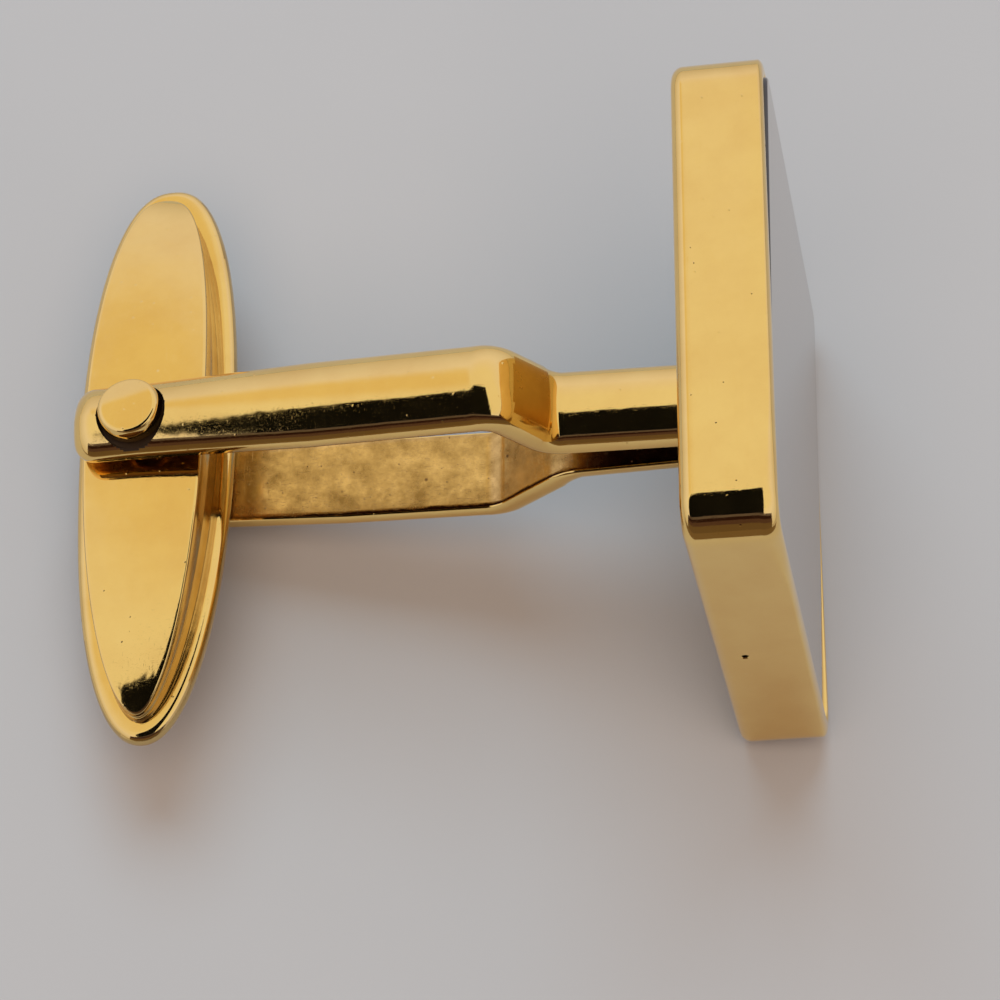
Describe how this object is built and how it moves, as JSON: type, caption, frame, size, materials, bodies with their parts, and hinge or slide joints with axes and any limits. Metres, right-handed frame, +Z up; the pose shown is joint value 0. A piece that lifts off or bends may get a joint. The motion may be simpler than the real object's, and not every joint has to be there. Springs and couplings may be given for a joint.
{
  "type": "cufflink",
  "caption": "Square stone-faced cufflink: a two-armed post carries a boat-shaped toggle that turns on a riveted pin to pass a buttonhole.",
  "frame": {"origin": "on the surface that the cufflink rests on, under the middle of its box", "axes": "+X from the toggle to the plaque along the surface, +Y along the toggle, +Z up; the post climbs towards the plaque as the piece rests"},
  "size_m": [0.0226, 0.0184, 0.0151],
  "materials": {
    "polished_gold": "polished yellow gold plate with fine wear",
    "onyx": "opaque black stone, mirror polished",
    "cement": "set jeweller's cement",
    "solder": "silver solder fillet",
    "spring_steel": "tempered strip, bright"
  },
  "bodies": {
    "post": {"bezel_case": "polished_gold", "seat_plate": "polished_gold", "cement_bed": "cement", "onyx_inlay": "onyx", "near_arm": "polished_gold", "far_arm": "polished_gold", "post_solder": "solder", "pivot_pin": "polished_gold"},
    "toggle": {"toggle_core": "polished_gold", "near_cheek": "polished_gold", "far_cheek": "polished_gold", "left_detent_leaf": "spring_steel", "right_detent_leaf": "spring_steel"}
  },
  "joints": [
    {"name": "toggle_pivot", "type": "hinge", "parent": "post", "child": "toggle", "pos_m": [-0.00893, 0, 0.00329], "axis": [-0.2388, 0, 0.9711], "continuous": true}
  ]
}
